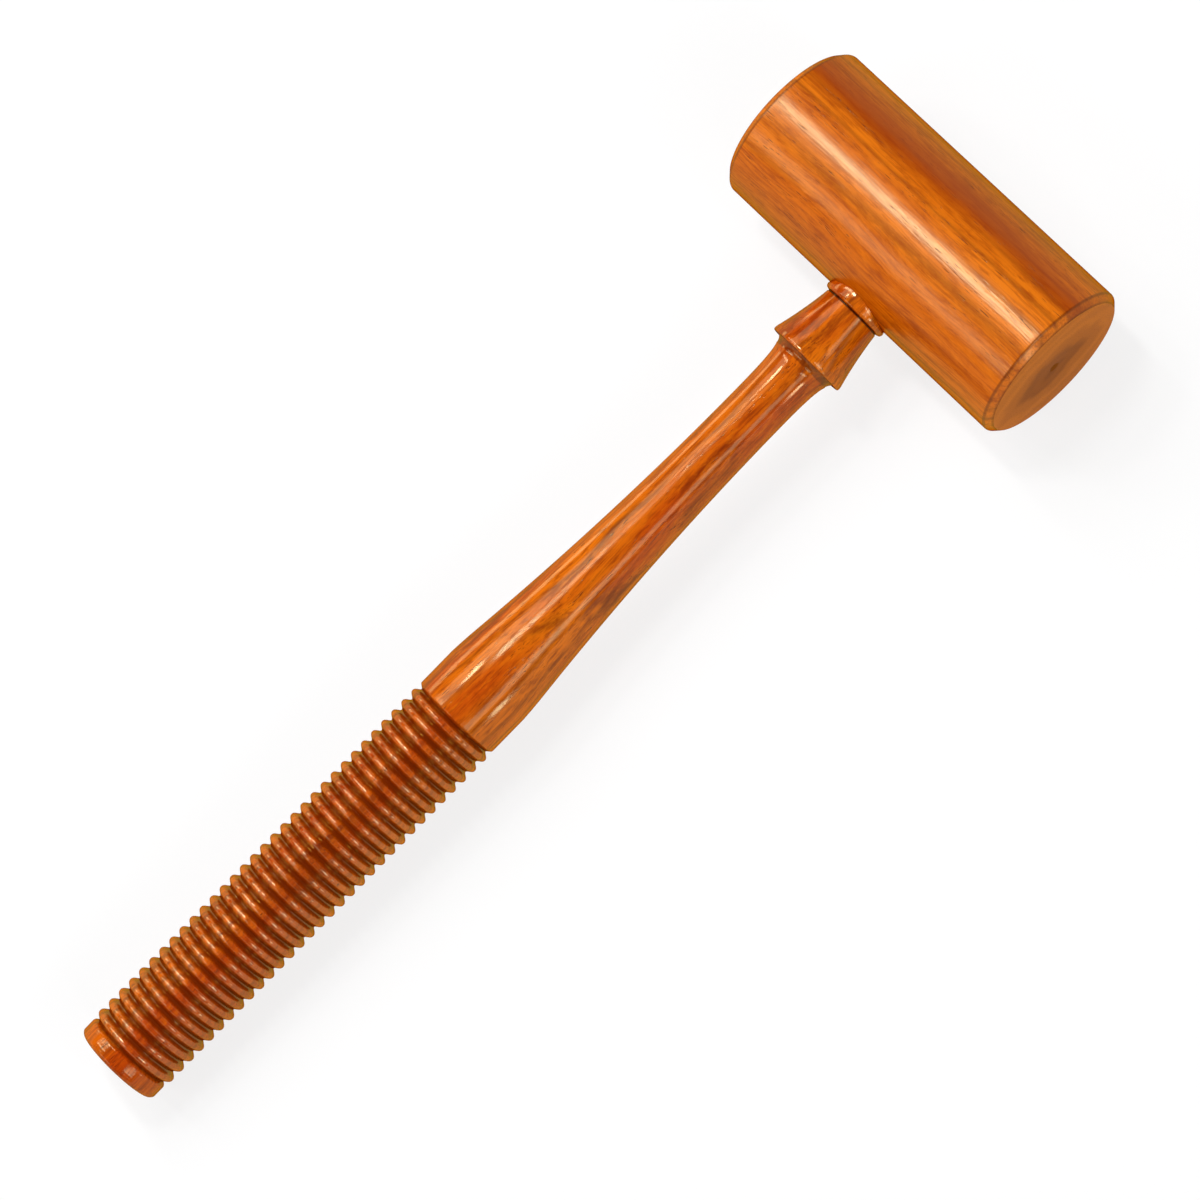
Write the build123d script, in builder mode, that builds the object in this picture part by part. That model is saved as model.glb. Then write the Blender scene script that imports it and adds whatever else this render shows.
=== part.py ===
"""A surgical mallet in turned and polished hardwood.

The head is a plain cylinder with chamfered ends.  The handle is one turning: a glued tenon,
a bead coped to the head, a V quirk, a flared collar, a slim waist that swells into a straight
band, and a grip of closed rings.  The mallet lies as it comes to rest, with the side of its
head and one ring of its grip on the ground.  Lengths are in millimetres.

The axis of the head lies along Y, and the handle runs from the head towards +X.  The origin
is on the ground, under the middle of the mallet's length.
"""

from build123d import *
from math import asin, atan2, cos, hypot, sin
import os

os.makedirs("parts", exist_ok=True)

# Head
head_dia = 35.0
head_length = 73.0
head_chamfer = 1.4
centre_mark_dia = 2.4
centre_mark_depth = 0.8

# Tenon of the handle, glued into a blind mortise in the head
tenon_dia = 10.0
tenon_length = 26.0
tenon_chamfer = 0.8
mortise_bottom_gap = 1.0
glue_line = 0.05

# Bead against the head, measured from the crown of the head, and the V quirk after it
bead_dia = 14.6
bead_height = 0.9
bead_bevel = 0.5
quirk_width = 0.7
quirk_dia = 12.2

# Flared collar with its lip, and the cove behind the lip
collar_neck_dia = 12.7
collar_length = 12.6
collar_hollow = 0.22
lip_dia = 17.2
lip_bevel = 0.3
lip_face = 1.5
cove_width = 1.4
cove_hollow = 0.2
cove_end_dia = 12.8

# Shaft, from the cove through the waist to the straight band above the grip
waist_dia = 11.36
waist_run = 10.6
swell_length = 75.7
band_dia = 19.16
band_length = 8.6

# Grip of closed rings, and the plain band at the butt
ring_dia = 19.56
ring_root_dia = 17.24
ring_pitch = 2.8
ring_count = 32
ring_land = 0.9
butt_dia = 18.8
butt_band_length = 3.4
butt_bevel = 0.6

# The waist fades out of the cove, as shares of its run and of its fall
waist_fade = [(0.12, 0.32), (0.4, 0.0)]
# The swell is one long arc, eased into the band from this share of its length and of its rise
swell_easing = (0.92, 0.885)

# Radii
head_radius = head_dia / 2
bead_radius = bead_dia / 2
lip_radius = lip_dia / 2
cove_end_radius = cove_end_dia / 2
waist_radius = waist_dia / 2
band_radius = band_dia / 2
ring_radius = ring_dia / 2
root_radius = ring_root_dia / 2
butt_radius = butt_dia / 2

# One ring is a narrow land with a flank on each side, down to the V of the next groove
flank_run = (ring_pitch - ring_land) / 2
flank_slope = (ring_radius - root_radius) / flank_run
shoulder_run = (band_radius - root_radius) / flank_slope
butt_shoulder_run = (butt_radius - root_radius) / flank_slope

# Stations along the handle, measured from the axis of the head
tenon_end = head_radius - tenon_length
bead_end = head_radius + bead_height
collar_start = bead_end + quirk_width
collar_end = collar_start + collar_length
cove_end = collar_end + cove_width
waist = cove_end + waist_run
band_start = waist + swell_length
band_end = band_start + band_length
first_groove = band_end + shoulder_run
last_groove = first_groove + ring_count * ring_pitch
last_land = last_groove - flank_run
butt_start = last_groove + butt_shoulder_run
butt_end = butt_start + butt_band_length


def lean_onto_ground(station, radius):
    """Angle by which the handle drops until a circle on it touches the ground."""
    return asin(head_radius / hypot(station, radius)) - atan2(radius, station)


# Rest: whichever of the last ring and the butt's edge meets the ground first carries the handle
tilt = min(
    lean_onto_ground(last_land, ring_radius),
    lean_onto_ground(butt_end - butt_bevel, butt_radius),
)
reach = max(
    butt_end * cos(tilt) + (butt_radius - butt_bevel) * sin(tilt),
    (butt_end - butt_bevel) * cos(tilt) + butt_radius * sin(tilt),
)
head_centre = Vector((head_radius - reach) / 2, 0, head_radius)
handle_direction = Vector(cos(tilt), 0, -sin(tilt))
handle_axis = Axis(head_centre, handle_direction)
head_axis_plane = Plane(head_centre, x_dir=(1, 0, 0), z_dir=(0, 1, 0))
handle_section = Plane(head_centre, x_dir=handle_direction, z_dir=(0, -1, 0))


def across_handle(station):
    """Plane square to the handle at a station, facing the butt."""
    return Plane(head_centre + handle_direction * station, z_dir=handle_direction)


def hollow_middle(start, end, hollow):
    """Middle of a chord, lowered by the hollow of the curve that it spans."""
    return ((start[0] + end[0]) / 2, (start[1] + end[1]) / 2 - hollow)


with BuildPart() as head:
    with BuildSketch(head_axis_plane):
        Circle(head_radius)
    extrude(amount=head_length / 2, both=True)
    chamfer(head.faces().filter_by(Axis.Y).edges(), head_chamfer)
    with Locations(
        Plane(head_centre + (0, head_length / 2, 0), z_dir=(0, -1, 0)),
        Plane(head_centre - (0, head_length / 2, 0), z_dir=(0, 1, 0)),
    ):
        Cone(
            centre_mark_dia / 2,
            0,
            centre_mark_depth,
            align=(Align.CENTER, Align.CENTER, Align.MIN),
            mode=Mode.SUBTRACT,
        )
    with BuildSketch(across_handle(tenon_end - mortise_bottom_gap)):
        Circle(tenon_dia / 2 + glue_line)
    extrude(amount=tenon_length + mortise_bottom_gap + bead_height, mode=Mode.SUBTRACT)

with BuildPart() as handle:
    with BuildSketch(handle_section):
        with BuildLine():
            # Bead and quirk; the bead starts inside the head and is coped off below
            Line((0, 0), (0, bead_radius))
            neck = (collar_start, collar_neck_dia / 2)
            Polyline(
                (0, bead_radius),
                (bead_end - bead_bevel, bead_radius),
                (bead_end, bead_radius - bead_bevel),
                (bead_end + quirk_width / 2, quirk_dia / 2),
                neck,
            )

            # Collar, lip and cove
            lip = (collar_end - lip_bevel, lip_radius)
            ThreePointArc(neck, hollow_middle(neck, lip, collar_hollow), lip)
            cove_start = (collar_end, lip_radius - lip_face)
            Polyline(lip, (collar_end, lip_radius - lip_bevel), cove_start)
            cove_foot = (cove_end, cove_end_radius)
            ThreePointArc(cove_start, hollow_middle(cove_start, cove_foot, cove_hollow), cove_foot)

            # Shaft
            fall = cove_end_radius - waist_radius
            fade = [(cove_end + u * waist_run, waist_radius + v * fall) for u, v in waist_fade]
            Bezier(cove_foot, *fade, (waist, waist_radius))
            easing = (
                waist + swell_easing[0] * swell_length,
                waist_radius + swell_easing[1] * (band_radius - waist_radius),
            )
            swell = TangentArc((waist, waist_radius), easing, tangent=(1, 0))
            TangentArc(easing, (band_start, band_radius), tangent=swell % 1)
            Line((band_start, band_radius), (band_end, band_radius))

            # Rings: each turn of the loop adds the ring that follows one groove
            Line((band_end, band_radius), (first_groove, root_radius))
            for ring in range(ring_count):
                groove = first_groove + ring * ring_pitch
                Polyline(
                    (groove, root_radius),
                    (groove + flank_run, ring_radius),
                    (groove + flank_run + ring_land, ring_radius),
                    (groove + ring_pitch, root_radius),
                )

            # Butt
            Polyline(
                (last_groove, root_radius),
                (butt_start, butt_radius),
                (butt_end - butt_bevel, butt_radius),
                (butt_end, butt_radius - butt_bevel),
                (butt_end, 0),
                (0, 0),
            )
        make_face()
    revolve(axis=handle_axis)

    # Cope: the bead is hollowed to sit on the round of the head
    with BuildSketch(head_axis_plane):
        Circle(head_radius + glue_line)
    extrude(amount=bead_dia, both=True, mode=Mode.SUBTRACT)

    # Tenon, run on into the collar, with its leading edge eased
    with BuildSketch(across_handle(tenon_end)):
        Circle(tenon_dia / 2)
    extrude(amount=tenon_length + bead_height)
    tenon_face = handle.faces().sort_by(handle_axis)[0]
    chamfer(tenon_face.edges(), tenon_chamfer)

head.part.label = "head"
handle.part.label = "handle"

export_step(head.part, "parts/head.step")
export_step(handle.part, "parts/handle.step")
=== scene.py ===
from math import asin, atan2, cos, hypot, pi, radians, sin, sqrt

import bmesh
import bpy
from mathutils import Matrix, Quaternion, Vector


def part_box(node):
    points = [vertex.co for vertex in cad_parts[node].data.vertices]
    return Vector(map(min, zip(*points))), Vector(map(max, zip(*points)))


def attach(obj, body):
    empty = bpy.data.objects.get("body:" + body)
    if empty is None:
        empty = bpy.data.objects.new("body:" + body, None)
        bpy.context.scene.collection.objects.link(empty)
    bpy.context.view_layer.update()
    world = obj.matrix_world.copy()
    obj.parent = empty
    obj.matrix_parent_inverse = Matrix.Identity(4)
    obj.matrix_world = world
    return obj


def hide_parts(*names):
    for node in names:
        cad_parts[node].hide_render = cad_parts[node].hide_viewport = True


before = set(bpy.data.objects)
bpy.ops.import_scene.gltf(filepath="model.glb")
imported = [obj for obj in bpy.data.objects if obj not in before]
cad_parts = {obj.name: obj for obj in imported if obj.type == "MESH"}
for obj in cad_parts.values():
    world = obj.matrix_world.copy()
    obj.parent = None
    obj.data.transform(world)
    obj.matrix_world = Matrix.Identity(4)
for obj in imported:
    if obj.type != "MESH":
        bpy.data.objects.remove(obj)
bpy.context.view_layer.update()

# Camera: it stands almost above the mallet and a little to the side that its near striking
# face looks to, rolled so that the handle runs down to the lower left of a 1200 x 1200 picture.
MM = 0.001
view_target = Vector((-10.2, 3.5, 12.0)) * MM
view_azimuth = radians(-90.5)
view_elevation = radians(72.8)
view_roll = radians(44.6)
view_distance = 965 * MM
view_angle = radians(13.7)

view_line = Vector((
    cos(view_elevation) * cos(view_azimuth),
    cos(view_elevation) * sin(view_azimuth),
    -sin(view_elevation),
))
camera_data = bpy.data.cameras.new("camera")
camera_data.angle = view_angle
camera_data.clip_start = 10 * MM
camera = bpy.data.objects.new("camera", camera_data)
camera.rotation_mode = "QUATERNION"
level_view = view_line.to_track_quat("-Z", "Y")
camera.rotation_quaternion = level_view @ Quaternion((0, 0, 1), -view_roll)
camera.location = view_target - view_line * view_distance
bpy.context.scene.collection.objects.link(camera)
bpy.context.scene.camera = camera
bpy.context.scene.view_settings.view_transform = "Standard"


# Handle: one turning of rosewood, from the tenon that is glued into the head, through a coped
# bead, a V quirk, a flared collar, a cove, a slim waist and a long swell, to a grip of closed
# rings and a plain butt.  Stations run along it in millimetres from the middle of the head.
head_low, head_high = (Vector(corner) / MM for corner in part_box("head"))
head_middle = (head_low + head_high) / 2
head_radius = (head_high.x - head_low.x) / 2
glue_line = 0.05

tenon_radius = 5.0
tenon_length = 26.0
tenon_chamfer = 0.8
bead_radius = 7.3
bead_height = 0.9
# Radii at which the coped foot of the bead is drawn, out to its eased edge
bead_foot_radii = (6.2, 7.15)
# The bead rounds over into the quirk: run past its end, and fall below its radius
bead_rounding = [(-0.4, 0.0), (0.15, 0.2), (0.3, 0.55)]
quirk_width = 0.7
quirk_radius = 6.1
quirk_bottom_share = 0.7
collar_neck_radius = 6.35
collar_length = 12.6
collar_hollow = 0.22
collar_steps = 14
lip_radius = 8.6
lip_width = 0.8
lip_fall = 0.02
lip_face = 1.5
cove_width = 1.4
cove_hollow = 0.2
cove_steps = 6
cove_end_radius = 6.4
waist_radius = 5.68
waist_run = 10.6
# The waist fades out of the cove, as shares of its run and of its fall
waist_fade = [(0.12, 0.32), (0.4, 0.0)]
waist_steps = 16
swell_length = 75.7
# The swell is one long curve, eased into the band from this share of its length and of its rise
swell_easing = (0.92, 0.885)
swell_steps = 40
swell_end_steps = 8
swell_end_run = 2.0
swell_end_fall = 0.1
band_radius = 9.58
band_length = 8.6
ring_radius = 9.78
ring_root = 8.62
ring_pitch = 2.8
ring_count = 32
ring_land = 0.9
ring_fullness = 2.8
ring_steps = 14
groove_easing = 0.1
butt_radius = 9.4
butt_band_length = 3.4
butt_bevel = 0.6
butt_face_share = 0.6
handle_segments = 120
weld_distance = 0.002
crease_angle = radians(38)

tenon_end = head_radius - tenon_length
bead_end = head_radius + bead_height
collar_start = bead_end + quirk_width
collar_end = collar_start + collar_length
cove_end = collar_end + cove_width
waist = cove_end + waist_run
band_start = waist + swell_length
band_end = band_start + band_length
flank_run = (ring_pitch - ring_land) / 2
flank_slope = (ring_radius - ring_root) / flank_run
first_groove = band_end + (band_radius - ring_root) / flank_slope
last_groove = first_groove + ring_count * ring_pitch
last_land = last_groove - flank_run
butt_start = last_groove + (butt_radius - ring_root) / flank_slope
butt_end = butt_start + butt_band_length

# The handle drops from the head until its last ring meets the ground
handle_tilt = asin(head_radius / hypot(last_land, ring_radius)) - atan2(ring_radius, last_land)
head_place = Matrix.Scale(MM, 4) @ Matrix.Translation(head_middle)
handle_frame = head_place @ Matrix.Rotation(handle_tilt, 4, "Y")


def ease(points, easing, steps):
    """The same outline with its corners eased by the given length along each side."""
    # Less than half of a side, so that two eased corners never meet
    longest_share = 1 / 2.2
    outline = [points[0]]
    for before, corner, after in zip(points, points[1:-1], points[2:]):
        before, corner, after = Vector(before), Vector(corner), Vector(after)
        back = min(easing, (before - corner).length * longest_share)
        on = min(easing, (after - corner).length * longest_share)
        start = corner + (before - corner).normalized() * back
        end = corner + (after - corner).normalized() * on
        for step in range(steps + 1):
            t = step / steps
            outline.append(tuple(start * (1 - t) ** 2 + corner * 2 * t * (1 - t) + end * t * t))
    outline.append(points[-1])
    return outline


def arc_through(start, end, hollow, steps):
    """Points on a shallow arc whose middle lies below its chord by the hollow."""
    points = []
    for step in range(steps + 1):
        t = step / steps
        dip = 4 * hollow * t * (1 - t)
        height = start[1] + (end[1] - start[1]) * t - dip
        points.append((start[0] + (end[0] - start[0]) * t, height))
    return points


def bezier(a, b, c, d, steps):
    """Points on the curve from a to d whose handles end at b and c."""
    points = []
    for step in range(steps + 1):
        t = step / steps
        weights = ((1 - t) ** 3, 3 * t * (1 - t) ** 2, 3 * t * t * (1 - t), t ** 3)
        points.append(tuple(sum(w * p[i] for w, p in zip(weights, (a, b, c, d))) for i in (0, 1)))
    return points


# A station of None lies on the round of the head, where the bead is coped
tenon_outline = [
    (tenon_end, 0),
    (tenon_end, tenon_radius - tenon_chamfer),
    (tenon_end + tenon_chamfer, tenon_radius),
    (None, tenon_radius),
    *((None, radius) for radius in bead_foot_radii),
]
bead_outline = ease(
    [
        *((bead_end + run, bead_radius - fall) for run, fall in bead_rounding),
        (bead_end + quirk_width * quirk_bottom_share, quirk_radius),
        (collar_start, collar_neck_radius),
    ],
    easing=0.2,
    steps=4,
)
lip_edge = (collar_end - lip_width, lip_radius)
flare = arc_through((collar_start, collar_neck_radius), lip_edge, collar_hollow, collar_steps)
cove_start = (collar_end, lip_radius - lip_face)
lip_corners = [flare[-2], lip_edge, (collar_end, lip_radius - lip_fall), cove_start]
lip_outline = ease(lip_corners, easing=0.42, steps=5)[1:]
cove_foot = (cove_end, cove_end_radius)
cove_outline = arc_through(cove_start, cove_foot, cove_hollow, cove_steps)[1:]

fall = cove_end_radius - waist_radius
fade_handles = [(cove_end + u * waist_run, waist_radius + v * fall) for u, v in waist_fade]
waist_outline = bezier(cove_foot, *fade_handles, (waist, waist_radius), waist_steps)[1:]
swell_run = swell_easing[0] * swell_length
swell_rise = swell_easing[1] * (band_radius - waist_radius)
swell_outline = []
for step in range(1, swell_steps + 1):
    share = step / swell_steps
    swell_outline.append((waist + share * swell_run, waist_radius + swell_rise * share ** 2))
swell_slope = 2 * swell_rise / swell_run
swell_end = swell_outline[-1]
swell_outline += bezier(
    swell_end,
    (swell_end[0] + swell_end_run, swell_end[1] + swell_end_run * swell_slope),
    (band_start - swell_end_run, band_radius - swell_end_fall),
    (band_start, band_radius),
    swell_end_steps,
)[1:]
band_outline = ease(
    [
        (band_start, band_radius),
        (band_end, band_radius),
        (first_groove - groove_easing, ring_root + groove_easing),
        (first_groove, ring_root),
    ],
    easing=0.22,
    steps=4,
)[1:]
shaft_outline = (
    tenon_outline + bead_outline + flare[1:-1] + lip_outline + cove_outline
    + waist_outline + swell_outline + band_outline
)
butt_outline = ease(
    [
        (last_groove, ring_root),
        (last_groove + groove_easing, ring_root + groove_easing),
        (butt_start, butt_radius),
        (butt_end - butt_bevel, butt_radius),
        (butt_end, butt_radius - butt_bevel),
        (butt_end, butt_radius * butt_face_share),
        (butt_end, 0),
    ],
    easing=0.3,
    steps=4,
)


def turn(name, outline, segments, place, station_at=None):
    """A turned mesh: outline holds (station, radius) pairs, and it closes where it meets the axis.

    A station of None lies on the surface that station_at(radius, angle) gives."""
    form = bmesh.new()
    rows = []
    for station, radius in outline:
        if radius == 0:
            rows.append([form.verts.new((station, 0, 0))])
            continue
        row = []
        for segment in range(segments):
            angle = 2 * pi * segment / segments
            along = station_at(radius, angle) if station is None else station
            row.append(form.verts.new((along, radius * sin(angle), radius * cos(angle))))
        rows.append(row)
    for first, second in zip(rows, rows[1:]):
        for segment in range(segments):
            follow = (segment + 1) % segments
            if len(first) == 1:
                form.faces.new((first[0], second[segment], second[follow]))
            elif len(second) == 1:
                form.faces.new((first[segment], second[0], first[follow]))
            else:
                form.faces.new((first[segment], second[segment], second[follow], first[follow]))
    form.transform(place)
    bmesh.ops.recalc_face_normals(form, faces=form.faces)
    mesh = bpy.data.meshes.new(name)
    form.to_mesh(mesh)
    form.free()
    return mesh


def cope(radius, angle):
    """Station at which the bead meets the round of the head."""
    return sqrt((head_radius + glue_line) ** 2 - (radius * cos(angle)) ** 2)


def add_piece(name, mesh):
    """An object in the scene that shows the mesh."""
    piece = bpy.data.objects.new(name, mesh)
    bpy.context.scene.collection.objects.link(piece)
    return piece


def add_node(tree, kind, values=None, out=0, **settings):
    """Adds a node, sets or links its inputs by name or number, and gives back one output."""
    node = tree.nodes.new(kind)
    for name, value in settings.items():
        setattr(node, name, value)
    for key, value in (values or {}).items():
        if isinstance(value, bpy.types.NodeSocket):
            tree.links.new(value, node.inputs[key])
        else:
            node.inputs[key].default_value = value
    return node.outputs[out] if node.outputs else node


def ring_grip_tree(material):
    """Closed rings turned along a stretch of handle: a grid is bent round the axis, and its
    radius swings between the root of the grooves and the crown of the rings."""
    tree = bpy.data.node_groups.new("ring_grip", "GeometryNodeTree")
    sockets = tree.interface
    sockets.new_socket("Geometry", in_out="OUTPUT", socket_type="NodeSocketGeometry")
    for name, kind in (
        ("Start", "NodeSocketFloat"), ("Pitch", "NodeSocketFloat"), ("Rings", "NodeSocketInt"),
        ("Root radius", "NodeSocketFloat"), ("Crown radius", "NodeSocketFloat"),
        ("Fullness", "NodeSocketFloat"), ("Steps per ring", "NodeSocketInt"),
        ("Segments", "NodeSocketInt"),
    ):
        sockets.new_socket(name, in_out="INPUT", socket_type=kind)
    source = tree.nodes.new("NodeGroupInput").outputs

    rows = add_node(tree, "ShaderNodeMath", {
        0: source["Rings"], 1: source["Steps per ring"], 2: 1.0}, operation="MULTIPLY_ADD")
    columns = add_node(tree, "ShaderNodeMath", {0: source["Segments"], 1: 1.0}, operation="ADD")
    sheet = add_node(tree, "GeometryNodeMeshGrid", {
        "Size X": 1.0, "Size Y": 1.0, "Vertices X": rows, "Vertices Y": columns})
    at = add_node(tree, "GeometryNodeInputPosition")
    at = add_node(tree, "ShaderNodeVectorMath", {0: at, 1: (0.5, 0.5, 0.0)}, operation="ADD")
    turns = add_node(tree, "ShaderNodeSeparateXYZ", {0: at}, "X")
    turns = add_node(tree, "ShaderNodeMath", {0: turns, 1: source["Rings"]}, operation="MULTIPLY")
    angle = add_node(tree, "ShaderNodeSeparateXYZ", {0: at}, "Y")
    angle = add_node(tree, "ShaderNodeMath", {0: angle, 1: 2 * pi}, operation="MULTIPLY")

    # One turn of the wave is one ring: a groove, and a crown that is flatter the fuller it is
    crown = add_node(tree, "ShaderNodeMath", {0: turns, 1: pi}, operation="MULTIPLY")
    crown = add_node(tree, "ShaderNodeMath", {0: crown}, operation="COSINE")
    crown = add_node(tree, "ShaderNodeMath", {0: crown}, operation="ABSOLUTE")
    crown = add_node(tree, "ShaderNodeMath", {0: crown, 1: source["Fullness"]}, operation="POWER")
    crown = add_node(
        tree, "ShaderNodeMath", {0: 1.0, 1: crown}, operation="SUBTRACT", use_clamp=True)
    depth = add_node(tree, "ShaderNodeMath", {
        0: source["Crown radius"], 1: source["Root radius"]}, operation="SUBTRACT")
    radius = add_node(tree, "ShaderNodeMath", {
        0: crown, 1: depth, 2: source["Root radius"]}, operation="MULTIPLY_ADD")
    sine = add_node(tree, "ShaderNodeMath", {0: angle}, operation="SINE")
    cosine = add_node(tree, "ShaderNodeMath", {0: angle}, operation="COSINE")
    point = add_node(tree, "ShaderNodeCombineXYZ", {
        "X": add_node(tree, "ShaderNodeMath", {
            0: turns, 1: source["Pitch"], 2: source["Start"]}, operation="MULTIPLY_ADD"),
        "Y": add_node(tree, "ShaderNodeMath", {0: radius, 1: sine}, operation="MULTIPLY"),
        "Z": add_node(tree, "ShaderNodeMath", {0: radius, 1: cosine}, operation="MULTIPLY"),
    })
    bent = add_node(tree, "GeometryNodeSetPosition", {"Geometry": sheet, "Position": point})
    closed = add_node(tree, "GeometryNodeMergeByDistance", {"Geometry": bent, "Distance": 0.001})
    real = add_node(tree, "GeometryNodeRealizeInstances", {"Geometry": closed})
    dressed = add_node(tree, "GeometryNodeSetMaterial", {"Geometry": real, "Material": material})
    add_node(tree, "NodeGroupOutput", {0: dressed})
    return tree


def made_by(tree, values):
    """The plain mesh that a Geometry Nodes tree makes from its named inputs."""
    carrier = add_piece("carrier", bpy.data.meshes.new("carrier"))
    modifier = carrier.modifiers.new("tree", "NODES")
    modifier.node_group = tree
    for item in tree.interface.items_tree:
        if item.in_out == "INPUT" and item.name in values:
            modifier[item.identifier] = values[item.name]
    evaluated = carrier.evaluated_get(bpy.context.evaluated_depsgraph_get())
    mesh = bpy.data.meshes.new_from_object(evaluated)
    bpy.data.objects.remove(carrier)
    return mesh


def join_meshes(name, meshes, place):
    """Meshes joined where they meet, turned outwards and placed."""
    form = bmesh.new()
    for mesh in meshes:
        form.from_mesh(mesh)
    bmesh.ops.remove_doubles(form, verts=form.verts, dist=weld_distance)
    bmesh.ops.recalc_face_normals(form, faces=form.faces)
    form.transform(place)
    mesh = bpy.data.meshes.new(name)
    form.to_mesh(mesh)
    form.free()
    return mesh


def set_smooth(mesh):
    """Smooth shading, kept crisp where faces meet at more than the crease angle."""
    mesh.shade_smooth()
    mesh.set_sharp_from_angle(angle=crease_angle)


def start_material(name):
    """A material whose node tree is still empty."""
    material = bpy.data.materials.new(name)
    material.use_nodes = True
    material.node_tree.nodes.clear()
    return material


def linear(hex_colour):
    """An sRGB hex colour as linear red, green, blue and alpha."""
    channels = [int(hex_colour[i : i + 2], 16) / 255 for i in (1, 3, 5)]
    return (*(c / 12.92 if c <= 0.04045 else ((c + 0.055) / 1.055) ** 2.4 for c in channels), 1.0)


def along_grain(tree, rotation):
    """Object coordinates in millimetres about the middle of the head, with X along the grain."""
    return add_node(tree, "ShaderNodeMapping", {
        "Vector": add_node(tree, "ShaderNodeTexCoord", {}, "Object"),
        "Location": head_middle * MM, "Rotation": rotation, "Scale": (MM, MM, MM),
    }, vector_type="TEXTURE")


def rosewood_grain(tree, wood, pale, mid, dark, deep, pith, strength, curl, seed):
    """Figure of rosewood in millimetres, its grain along X: colour, and height for the bump."""
    # The grain wanders by a millimetre or two along the piece
    drift = add_node(tree, "ShaderNodeMapping", {
        "Vector": wood, "Scale": (1 / 40, 1 / 16, 1 / 16), "Location": (seed, seed, seed)})
    drift = add_node(tree, "ShaderNodeTexNoise", {"Vector": drift, "Scale": 1.0, "Detail": 2.0})
    drift = add_node(
        tree, "ShaderNodeMath", {0: drift, 1: curl, 2: -curl / 2}, operation="MULTIPLY_ADD")
    drift = add_node(tree, "ShaderNodeCombineXYZ", {"Y": drift, "Z": drift})
    grain = add_node(tree, "ShaderNodeVectorMath", {0: wood, 1: drift}, operation="ADD")

    # Golden zones, a centimetre across
    zones = add_node(tree, "ShaderNodeMapping", {
        "Vector": grain, "Scale": (1 / 80, 1 / 8, 1 / 8), "Location": (seed * 2, seed, -seed)})
    zones = add_node(tree, "ShaderNodeTexNoise", {"Vector": zones, "Scale": 1.0, "Detail": 2.0})
    zones = add_node(
        tree, "ShaderNodeMapRange", {0: zones, 1: 0.38, 2: 0.62}, interpolation_type="SMOOTHSTEP")
    colour = add_node(
        tree, "ShaderNodeMix", {0: zones, 6: linear(mid), 7: linear(pale)}, 2, data_type="RGBA")

    # Red-brown streaks, two to four millimetres across and as long as the piece
    streaks = add_node(tree, "ShaderNodeMapping", {
        "Vector": grain, "Scale": (1 / 90, 1 / 3.0, 1 / 3.0), "Location": (seed, -seed, seed * 3)})
    streaks = add_node(tree, "ShaderNodeTexNoise", {
        "Vector": streaks, "Scale": 1.0, "Detail": 4.0, "Roughness": 0.55})
    streaks = add_node(tree, "ShaderNodeMapRange", {
        0: streaks, 1: 0.48, 2: 0.72, 4: strength}, interpolation_type="SMOOTHSTEP")
    colour = add_node(
        tree, "ShaderNodeMix", {0: streaks, 6: colour, 7: linear(dark)}, 2, data_type="RGBA")

    # Growth rings 3.1 mm apart about a pith at (y, z), as thin dark lines that come and go
    spokes = add_node(
        tree, "ShaderNodeVectorMath", {0: grain, 1: (0, *pith)}, operation="SUBTRACT")
    spokes = add_node(
        tree, "ShaderNodeVectorMath", {0: spokes, 1: (0.04, 1, 1)}, operation="MULTIPLY")
    rings = add_node(tree, "ShaderNodeVectorMath", {0: spokes}, "Value", operation="LENGTH")
    rings = add_node(tree, "ShaderNodeMath", {0: rings, 1: pi / 3.1}, operation="MULTIPLY")
    rings = add_node(tree, "ShaderNodeMath", {0: rings}, operation="SINE")
    rings = add_node(tree, "ShaderNodeMath", {0: rings}, operation="ABSOLUTE")
    rings = add_node(tree, "ShaderNodeMath", {0: rings, 1: 9.0}, operation="POWER")
    rings = add_node(tree, "ShaderNodeMath", {0: rings, 1: zones}, operation="MULTIPLY")
    rings = add_node(tree, "ShaderNodeMath", {0: rings, 1: 0.45}, operation="MULTIPLY")
    colour = add_node(
        tree, "ShaderNodeMix", {0: rings, 6: colour, 7: linear(deep)}, 2, data_type="RGBA")

    # Fibres, drawn at 0.4 mm, as coarse as they need to show
    fibres = add_node(tree, "ShaderNodeMapping", {
        "Vector": grain, "Scale": (1 / 11, 1 / 0.4, 1 / 0.4), "Location": (seed, 0, seed)})
    fibres = add_node(tree, "ShaderNodeTexNoise", {"Vector": fibres, "Scale": 1.0, "Detail": 3.0})
    shade = add_node(tree, "ShaderNodeMapRange", {0: fibres, 1: 0.45, 2: 0.72, 4: 0.6})
    colour = add_node(
        tree, "ShaderNodeMix", {0: shade, 6: colour, 7: linear(dark)}, 2, data_type="RGBA")

    # Flecks a few millimetres long, where the grain rises and dips under the polish
    flecks = add_node(tree, "ShaderNodeMapping", {
        "Vector": grain, "Scale": (1 / 4.5, 1 / 1.1, 1 / 1.1), "Location": (seed, seed * 2, 0)})
    flecks = add_node(tree, "ShaderNodeTexNoise", {
        "Vector": flecks, "Scale": 1.0, "Detail": 4.0, "Roughness": 0.65})
    for edge, end, share, tint in ((0.52, 0.72, 0.65, pale), (0.48, 0.30, 0.6, dark)):
        part = add_node(tree, "ShaderNodeMapRange", {0: flecks, 1: edge, 2: end, 4: share})
        colour = add_node(
            tree, "ShaderNodeMix", {0: part, 6: colour, 7: linear(tint)}, 2, data_type="RGBA")

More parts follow.
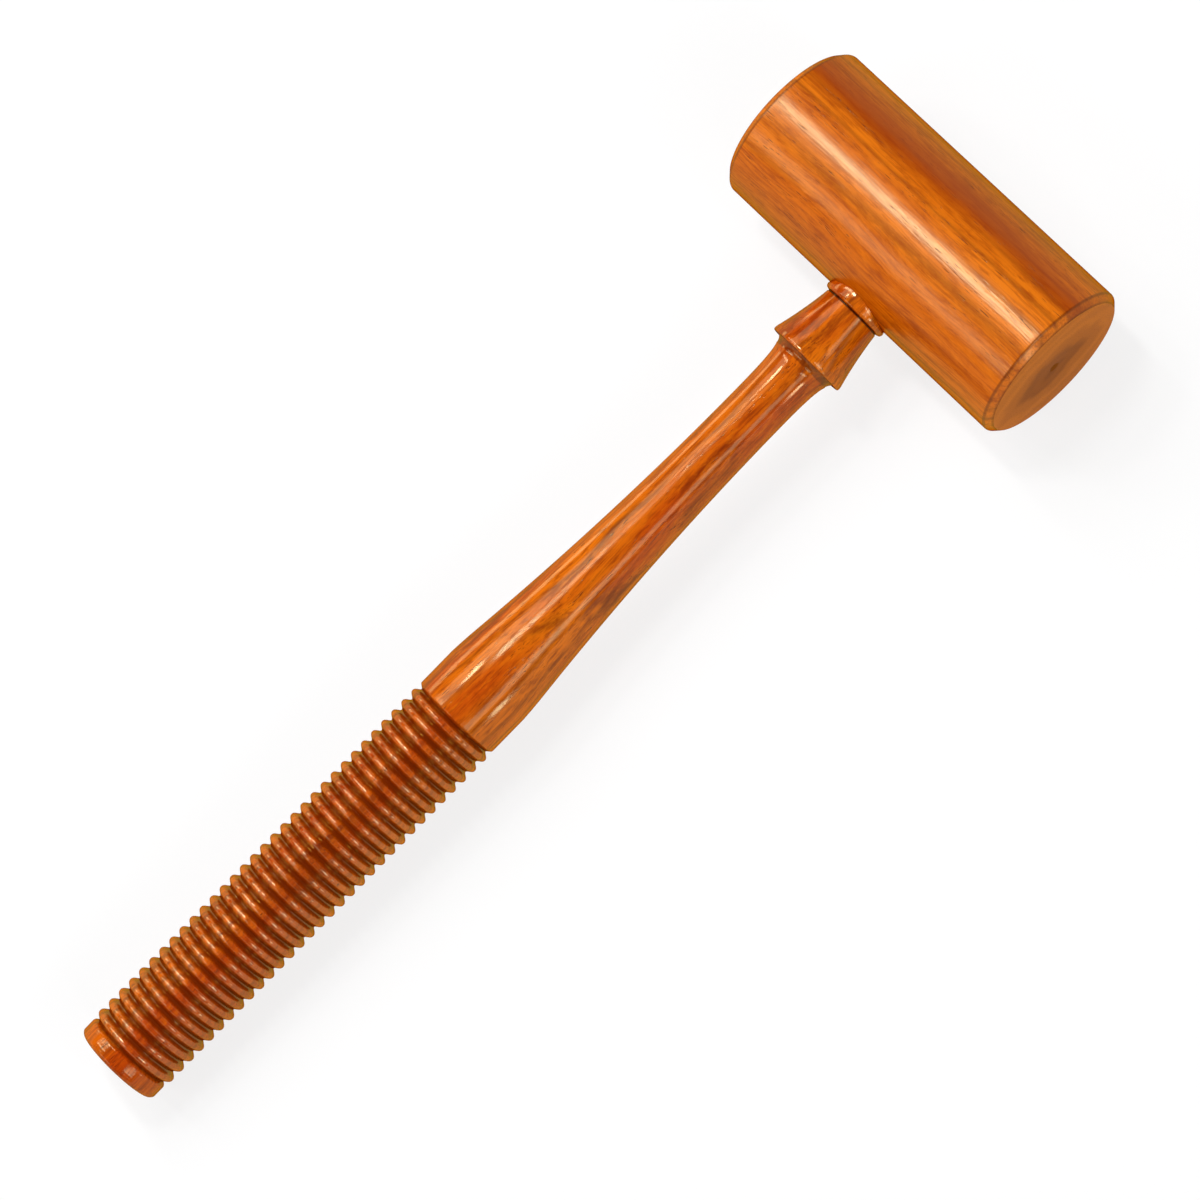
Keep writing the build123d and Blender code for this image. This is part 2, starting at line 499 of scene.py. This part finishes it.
    # Open pores: dashes two millimetres long and a quarter wide, in rows
    pores = add_node(tree, "ShaderNodeMapping", {
        "Vector": grain, "Scale": (1 / 2.6, 1 / 0.2, 1 / 0.2), "Location": (seed, seed, 0)})
    pores = add_node(tree, "ShaderNodeTexNoise", {"Vector": pores, "Scale": 1.0, "Detail": 1.0})
    pores = add_node(
        tree, "ShaderNodeMapRange", {0: pores, 1: 0.64, 2: 0.7}, interpolation_type="SMOOTHSTEP")
    rows = add_node(tree, "ShaderNodeMapping", {
        "Vector": grain, "Scale": (1 / 30, 1 / 1.5, 1 / 1.5), "Location": (0, seed, seed)})
    rows = add_node(tree, "ShaderNodeTexNoise", {"Vector": rows, "Scale": 1.0, "Detail": 2.0})
    rows = add_node(tree, "ShaderNodeMapRange", {
        0: rows, 1: 0.5, 2: 0.62, 4: 0.9}, interpolation_type="SMOOTHSTEP")
    pores = add_node(tree, "ShaderNodeMath", {0: pores, 1: rows}, operation="MULTIPLY")
    colour = add_node(
        tree, "ShaderNodeMix", {0: pores, 6: colour, 7: linear(deep)}, 2, data_type="RGBA")
    height = add_node(tree, "ShaderNodeMath", {0: fibres, 1: pores}, operation="SUBTRACT")
    return colour, height


def polished(tree, wood, height, strength, depth):
    """Bump of a polished surface: a faint long ripple, and pores that the lacquer half fills."""
    ripple = add_node(
        tree, "ShaderNodeMapping", {"Vector": wood, "Scale": (1 / 14, 1 / 5, 1 / 5)})
    ripple = add_node(tree, "ShaderNodeTexNoise", {"Vector": ripple, "Scale": 1.0, "Detail": 2.0})
    ripple = add_node(
        tree, "ShaderNodeBump", {"Height": ripple, "Strength": 1.0, "Distance": 0.06 * MM})
    return add_node(tree, "ShaderNodeBump", {
        "Height": height, "Normal": ripple, "Strength": strength, "Distance": depth * MM})


# Lacquered rosewood of the handle: red-brown, its grain along the handle.  The gloss is sharp, and
# a coat with no reflection of its own (IOR 1.0) tints the wood amber, deepest where the surface
# turns away, as old lacquer does.
handle_wood = start_material("lacquered_rosewood_handle")
tree = handle_wood.node_tree
wood = along_grain(tree, rotation=(0, handle_tilt, 0))
colour, height = rosewood_grain(
    tree, wood, pale="#DC760E", mid="#BE4E04", dark="#7A2802", deep="#3E1202",
    pith=(5.0, 13.0), strength=0.95, curl=6.0, seed=8.4)

# Station along the handle, and distance from its axis
station = add_node(tree, "ShaderNodeSeparateXYZ", {0: wood})
across = add_node(tree, "ShaderNodeVectorMath", {0: wood, 1: (0, 1, 1)}, operation="MULTIPLY")
across = add_node(tree, "ShaderNodeVectorMath", {0: across}, "Value", operation="LENGTH")

# The grip is a little redder, and painted shade darkens its grooves
at_grip = add_node(tree, "ShaderNodeMapRange", {0: station, 1: band_end, 2: band_end + 0.2})
colour = add_node(tree, "ShaderNodeMix", {
    0: at_grip, 6: colour, 7: linear("#F6E4D0")}, 2, data_type="RGBA", blend_type="MULTIPLY")
groove_shade = add_node(tree, "ShaderNodeMapRange", {
    0: across, 1: ring_radius - 0.1, 2: ring_root}, interpolation_type="SMOOTHSTEP")
before_butt = add_node(
    tree, "ShaderNodeMapRange", {0: station, 1: last_groove + 0.4, 2: last_groove})
groove = add_node(tree, "ShaderNodeMath", {0: groove_shade, 1: at_grip}, operation="MULTIPLY")
groove = add_node(tree, "ShaderNodeMath", {0: groove, 1: before_butt}, operation="MULTIPLY")
colour = add_node(
    tree, "ShaderNodeMix", {0: groove, 6: colour, 7: linear("#6E2604")}, 2, data_type="RGBA")

# Painted shade also darkens the quirk and the cove behind the lip
in_quirk = add_node(tree, "ShaderNodeMapRange", {0: across, 1: 6.75, 2: 6.45})
past_bead = add_node(
    tree, "ShaderNodeMapRange", {0: station, 1: collar_start + 0.15, 2: collar_start - 0.1})
in_quirk = add_node(tree, "ShaderNodeMath", {0: in_quirk, 1: past_bead}, operation="MULTIPLY")
past_lip = add_node(
    tree, "ShaderNodeMapRange", {0: station, 1: collar_end - 0.05, 2: collar_end + 0.15, 4: 0.55})
before_shaft = add_node(
    tree, "ShaderNodeMapRange", {0: station, 1: cove_end + 0.1, 2: cove_end - 0.1})
in_cove = add_node(tree, "ShaderNodeMath", {0: past_lip, 1: before_shaft}, operation="MULTIPLY")
recess_shade = add_node(tree, "ShaderNodeMath", {0: in_quirk, 1: in_cove}, operation="MAXIMUM")
colour = add_node(
    tree, "ShaderNodeMix", {0: recess_shade, 6: colour, 7: linear("#4A1804")}, 2, data_type="RGBA")

# Fine marks of the turning tool run round the rings, a third of a millimetre apart
relief = polished(tree, wood, height, strength=0.3, depth=0.02)
marks = add_node(tree, "ShaderNodeCombineXYZ", {"X": station, "Y": across})
marks = add_node(tree, "ShaderNodeMapping", {"Vector": marks, "Scale": (3.0, 3.0, 1.0)})
marks = add_node(tree, "ShaderNodeTexNoise", {"Vector": marks, "Scale": 1.0, "Detail": 1.0})
marks = add_node(tree, "ShaderNodeMath", {0: marks, 1: at_grip}, operation="MULTIPLY")
relief = add_node(tree, "ShaderNodeBump", {
    "Height": marks, "Normal": relief, "Strength": 1.0, "Distance": 0.03 * MM})
shader = add_node(tree, "ShaderNodeBsdfPrincipled", {
    "Base Color": colour, "Roughness": 0.11, "IOR": 1.5, "Specular IOR Level": 0.5,
    "Normal": relief, "Coat Weight": 1.0, "Coat Roughness": 0.05, "Coat IOR": 1.0,
    "Coat Tint": linear("#F8EABA"),
})
add_node(tree, "ShaderNodeOutputMaterial", {"Surface": shader})

# Lacquered rosewood of the grip: the same wood under a thicker, glossier build of lacquer, which
# draws a sharp line of light on the crown of every ring.
grip_wood = handle_wood.copy()
grip_wood.name = "lacquered_rosewood_grip"
grip_shader = next(n for n in grip_wood.node_tree.nodes if n.type == "BSDF_PRINCIPLED")
grip_shader.inputs["Roughness"].default_value = 0.08
grip_shader.inputs["Specular IOR Level"].default_value = 1.0

grip_mesh = made_by(
    ring_grip_tree(grip_wood),
    {
        "Start": first_groove, "Pitch": ring_pitch, "Rings": ring_count,
        "Root radius": ring_root, "Crown radius": ring_radius, "Fullness": ring_fullness,
        "Steps per ring": ring_steps, "Segments": handle_segments,
    },
)
handle_mesh = join_meshes(
    "turned_handle",
    [
        turn("shaft", shaft_outline, handle_segments, Matrix(), cope),
        grip_mesh,
        turn("butt", butt_outline, handle_segments, Matrix()),
    ],
    handle_frame,
)
set_smooth(handle_mesh)
for material in (handle_wood, grip_wood):
    handle_mesh.materials.append(material)
to_handle = handle_frame.inverted()
for face in handle_mesh.polygons:
    if first_groove < (to_handle @ face.center).x < last_groove:
        face.material_index = 1
handle = add_piece("turned_handle", handle_mesh)
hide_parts("handle")
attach(handle, "root")


# Head: a plain cylinder turned from a billet of rosewood, its grain along its axis.  Both ends are
# faced flat, chamfered and eased, and keep the small mark of the lathe's centre.  A blind round
# mortise in its side takes the handle's tenon, with a glue line to spare all round.
head_half = (head_high.y - head_low.y) / 2
head_chamfer = 1.4
head_easing = 0.25
centre_mark_radius = 1.2
centre_mark_depth = 0.8
head_segments = 256
side_rows = 24
side_share = 0.97
mortise_bottom_gap = 1.0
mortise_overrun = 2.0
mortise_segments = 96

# From the centre mark to the edge of the side, then rows along the side, then the same mirrored
side_end = head_half - head_chamfer
end_outline = ease(
    [
        (head_half - centre_mark_depth, 0),
        (head_half, centre_mark_radius),
        (head_half, head_radius - head_chamfer),
        (side_end, head_radius),
        (0, head_radius),
    ],
    head_easing,
    steps=5,
)[:-1]
side_outline = [
    (side_end * side_share * (1 - 2 * row / side_rows), head_radius)
    for row in range(side_rows + 1)
]
other_end = [(-station, radius) for station, radius in reversed(end_outline)]
head_frame = head_place @ Matrix.Rotation(radians(90), 4, "Z")
head_outline = end_outline + side_outline + other_end
head = add_piece("head_block", turn("head", head_outline, head_segments, head_frame))

mortise_from = tenon_end - mortise_bottom_gap
mortise_to = head_radius + mortise_overrun
mortise_radius = tenon_radius + glue_line
bore_outline = [
    (mortise_from, 0),
    (mortise_from, mortise_radius),
    (mortise_to, mortise_radius),
    (mortise_to, 0),
]
bore = add_piece("bore", turn("bore", bore_outline, mortise_segments, handle_frame))
cut = head.modifiers.new("mortise", "BOOLEAN")
cut.object = bore
cut.operation = "DIFFERENCE"
cut.solver = "EXACT"
head_mesh = bpy.data.meshes.new_from_object(
    head.evaluated_get(bpy.context.evaluated_depsgraph_get()))
head.modifiers.remove(cut)
head.data = head_mesh
bpy.data.objects.remove(bore)
set_smooth(head_mesh)

# Lacquered rosewood of the head: dense, orange to red-brown, with straight streaks and fine dark
# pores.  Its gloss is softer than the handle's, under the same amber tint.
head_wood = start_material("lacquered_rosewood_head")
tree = head_wood.node_tree
wood = along_grain(tree, rotation=(0, 0, radians(90)))
colour, height = rosewood_grain(
    tree, wood, pale="#E27E18", mid="#CC6806", dark="#963C04", deep="#4E1C04",
    pith=(-14.0, 31.0), strength=0.65, curl=3.4, seed=3.1)

# One layer of redder heartwood and painted shade runs the length of the head, 10 mm to one side
layer = add_node(tree, "ShaderNodeMapping", {"Vector": wood, "Scale": (1 / 50, 1 / 9, 1 / 9)})
layer = add_node(tree, "ShaderNodeTexNoise", {"Vector": layer, "Scale": 1.0, "Detail": 2.0})
layer = add_node(tree, "ShaderNodeMath", {0: layer, 1: 7.0, 2: -3.5}, operation="MULTIPLY_ADD")
side = add_node(tree, "ShaderNodeSeparateXYZ", {0: wood}, "Y")
layer = add_node(tree, "ShaderNodeMath", {0: side, 1: layer}, operation="ADD")
layer = add_node(tree, "ShaderNodeMath", {0: layer, 1: -10.2}, operation="ADD")
layer = add_node(tree, "ShaderNodeMath", {0: layer}, operation="ABSOLUTE")
layer = add_node(tree, "ShaderNodeMapRange", {
    0: layer, 1: 4.6, 2: 0.8, 4: 0.75}, interpolation_type="SMOOTHSTEP")
colour = add_node(
    tree, "ShaderNodeMix", {0: layer, 6: colour, 7: linear("#963602")}, 2, data_type="RGBA")

# Painted shade draws both edges of each chamfer as thin dark lines
edge = add_node(tree, "ShaderNodeSeparateXYZ", {0: wood})
edge = add_node(tree, "ShaderNodeMath", {0: edge}, operation="ABSOLUTE")
for offset in (head_chamfer / 2 - head_half, -head_chamfer / 2):
    edge = add_node(tree, "ShaderNodeMath", {0: edge, 1: offset}, operation="ADD")
    edge = add_node(tree, "ShaderNodeMath", {0: edge}, operation="ABSOLUTE")
edge = add_node(tree, "ShaderNodeMapRange", {0: edge, 1: 0.38, 2: 0.12, 4: 0.6})
colour = add_node(
    tree, "ShaderNodeMix", {0: edge, 6: colour, 7: linear("#5E2204")}, 2, data_type="RGBA")
shader = add_node(tree, "ShaderNodeBsdfPrincipled", {
    "Base Color": colour, "Roughness": 0.24, "IOR": 1.5, "Specular IOR Level": 0.5,
    "Normal": polished(tree, wood, height, strength=0.5, depth=0.05),
    "Coat Weight": 1.0, "Coat Roughness": 0.1, "Coat IOR": 1.0, "Coat Tint": linear("#F8EABA"),
})
add_node(tree, "ShaderNodeOutputMaterial", {"Surface": shader})

# Rosewood end grain of the striking faces: cut across the fibres, it drinks the lacquer and stays
# brown and dull, with faint growth rings and a lens of dark heartwood round the centre mark.
end_grain = start_material("rosewood_end_grain")
tree = end_grain.node_tree
wood = along_grain(tree, rotation=(0, 0, radians(90)))
lens = add_node(tree, "ShaderNodeMapping", {
    "Vector": wood, "Location": (0, 0.06, 0.1), "Scale": (0, 1 / 13, 1 / 8.5)})
stir = add_node(tree, "ShaderNodeMapping", {"Vector": wood, "Scale": (0, 1 / 7, 1 / 4)})
stir = add_node(tree, "ShaderNodeTexNoise", {"Vector": stir, "Scale": 1.0, "Detail": 3.0})
stir = add_node(tree, "ShaderNodeMath", {0: stir, 1: 0.55, 2: -0.27}, operation="MULTIPLY_ADD")
lens = add_node(tree, "ShaderNodeVectorMath", {0: lens}, "Value", operation="LENGTH")
lens = add_node(tree, "ShaderNodeMath", {0: lens, 1: stir}, operation="ADD")
bands = add_node(tree, "ShaderNodeMath", {0: lens, 1: 15.0}, operation="MULTIPLY")
bands = add_node(tree, "ShaderNodeMath", {0: bands}, operation="SINE")
bands = add_node(tree, "ShaderNodeMath", {0: bands, 1: 0.09, 2: 0.09}, operation="MULTIPLY_ADD")
lens = add_node(tree, "ShaderNodeMapRange", {
    0: lens, 1: 0.25, 2: 1.2, 3: 0.8, 4: 0.0}, interpolation_type="SMOOTHSTEP")
lens = add_node(tree, "ShaderNodeMath", {0: lens, 1: bands}, operation="ADD", use_clamp=True)
colour = add_node(tree, "ShaderNodeMix", {
    0: lens, 6: linear("#BC6A1A"), 7: linear("#80440C")}, 2, data_type="RGBA")

# Pores end on, a quarter of a millimetre across, as coarse as they need to show
pores = add_node(tree, "ShaderNodeMapping", {"Vector": wood, "Scale": (0, 4.0, 4.0)})
pores = add_node(tree, "ShaderNodeTexNoise", {"Vector": pores, "Scale": 1.0, "Detail": 1.0})
specks = add_node(tree, "ShaderNodeMapRange", {
    0: pores, 1: 0.6, 2: 0.7, 4: 0.45}, interpolation_type="SMOOTHSTEP")
colour = add_node(
    tree, "ShaderNodeMix", {0: specks, 6: colour, 7: linear("#5A2C0A")}, 2, data_type="RGBA")
relief = add_node(
    tree, "ShaderNodeBump", {"Height": pores, "Strength": 0.3, "Distance": 0.03 * MM})
shader = add_node(tree, "ShaderNodeBsdfPrincipled", {
    "Base Color": colour, "Roughness": 0.5, "IOR": 1.5, "Specular IOR Level": 0.02,
    "Normal": relief,
})
add_node(tree, "ShaderNodeOutputMaterial", {"Surface": shader})

# End grain covers the flat of each striking face and its centre mark
face_depth = 0.1
face_turn = cos(radians(20))
for material in (head_wood, end_grain):
    head_mesh.materials.append(material)
to_head = head_frame.inverted()
for face in head_mesh.polygons:
    middle = to_head @ face.center
    on_face = abs(face.normal.y) > face_turn and abs(middle.x) > head_half - face_depth
    if on_face or hypot(middle.y, middle.z) < centre_mark_radius + head_easing:
        face.material_index = 1
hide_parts("head")
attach(head, "root")


# Floor: a matt white table that curves up into a white backdrop all round.  What the camera and
# the reflections see of it is mostly its own even glow, so that the ground stays white and keeps
# the soft shadow of the mallet.  Sizes are in metres.
floor_outline = [(0, 0), (0, 1.0), (0, 2.0), (0.05, 2.5), (0.2, 2.85), (0.5, 3.0), (0.9, 3.0)]
floor_segments = 96
floor_frame = Matrix.Rotation(radians(-90), 4, "Y")
eased_floor = ease(floor_outline, easing=0.3, steps=4)
floor_mesh = turn("floor", eased_floor, floor_segments, floor_frame)
floor_mesh.shade_smooth()
floor = add_piece("floor", floor_mesh)

# White paper: the share of glow rises from the mallet outwards, so the shadow fades into white
paper = start_material("white_paper")
tree = paper.node_tree
matt = add_node(tree, "ShaderNodeBsdfDiffuse", {"Color": (0.85, 0.85, 0.85, 1.0)})
glow = add_node(tree, "ShaderNodeEmission", {"Color": (1.0, 1.0, 1.0, 1.0), "Strength": 1.0})
path = tree.nodes.new("ShaderNodeLightPath").outputs
seen = path["Is Camera Ray"]
for ray in ("Is Glossy Ray", "Is Transmission Ray"):
    seen = add_node(tree, "ShaderNodeMath", {0: seen, 1: path[ray]}, operation="MAXIMUM")
away = add_node(tree, "ShaderNodeTexCoord", {}, "Object")
away = add_node(tree, "ShaderNodeVectorMath", {0: away}, "Value", operation="LENGTH")
share = add_node(tree, "ShaderNodeMapRange", {
    0: away, 1: 0.2, 2: 1.0, 3: 0.8, 4: 1.0}, interpolation_type="SMOOTHSTEP")
share = add_node(tree, "ShaderNodeMath", {0: seen, 1: share}, operation="MULTIPLY")
both = add_node(tree, "ShaderNodeMixShader", {0: share, 1: matt, 2: glow})
add_node(tree, "ShaderNodeOutputMaterial", {"Surface": both})
floor_mesh.materials.append(paper)


# Light: a dim white room, and soft boxes whose reflections run along the head, the shaft and the
# rings.  Each box faces a point on the mallet, and its length is laid along X or Y.
room_strength = 0.12
world = bpy.data.worlds.new("studio")
bpy.context.scene.world = world
world.use_nodes = True
world.node_tree.nodes.clear()
room = add_node(world.node_tree, "ShaderNodeBackground", {
    "Color": (1.0, 1.0, 1.0, 1.0), "Strength": room_strength})
add_node(world.node_tree, "ShaderNodeOutputWorld", {"Surface": room})

# Middle, point that it faces, width, length, direction of its length, and radiance
soft_boxes = {
    # The long highlight on the crown of the head, and the bright spot where the shaft swells
    "overhead_box": ((-0.14, -0.275, 0.93), (-0.1, 0, 0), 0.19, 0.08, (1, 0, 0), 62.0),
    "knee_box": ((0.035, -0.46, 0.85), (0.03, 0, 0), 0.10, 0.12, (1, 0, 0), 28.0),
    # Broad fills on both sides, with a brighter core in the right one
    "left_box": ((-0.15, -0.62, 0.80), (-0.05, 0, 0), 0.42, 0.80, (1, 0, 0), 2.5),
    "right_box": ((-0.15, 0.80, 0.62), (-0.05, 0, 0), 0.26, 0.80, (1, 0, 0), 2.8),
    "right_core": ((-0.22, 0.76, 0.59), (-0.1, 0, 0), 0.10, 0.24, (1, 0, 0), 6.0),
    # A line of light on each flank of every ring, on both sides of the grip
    "left_ring_box": ((-0.17, -0.74, 0.82), (0.05, 0, 0), 0.60, 0.07, (1, 0, 0), 15.0),
    "left_ring_box_2": ((0.27, -0.74, 0.82), (0.05, 0, 0), 0.60, 0.07, (1, 0, 0), 12.0),
    "right_ring_box": ((-0.17, 0.76, 0.64), (0.05, 0, 0), 0.45, 0.05, (1, 0, 0), 12.0),
    "right_ring_box_2": ((0.27, 0.76, 0.64), (0.05, 0, 0), 0.45, 0.05, (1, 0, 0), 10.0),
    # The lower left edge, the side towards the butt, and the near striking face
    "left_low_box": ((-0.10, -1.05, 0.20), (0.0, 0, 0), 0.20, 0.60, (1, 0, 0), 4.0),
    "foot_box": ((0.62, -0.22, 0.62), (-0.1, 0, 0), 0.24, 0.50, (0, 1, 0), 4.2),
    "face_box": ((0.035, 0.95, 0.27), (-0.03, 0, 0), 0.16, 0.12, (1, 0, 0), 14.0),
}
for name, (middle, aim, width, length, along, radiance) in soft_boxes.items():
    lamp = bpy.data.lights.new(name, "AREA")
    lamp.shape = "RECTANGLE"
    lamp.size = width
    lamp.size_y = length
    lamp.energy = radiance * pi * width * length
    box = bpy.data.objects.new(name, lamp)
    back = (Vector(middle) - Vector(aim)).normalized()
    side = Vector(along).cross(back).normalized()
    axes = Matrix((side, back.cross(side), back)).transposed().to_4x4()
    box.matrix_world = Matrix.Translation(middle) @ axes
    bpy.context.scene.collection.objects.link(box)
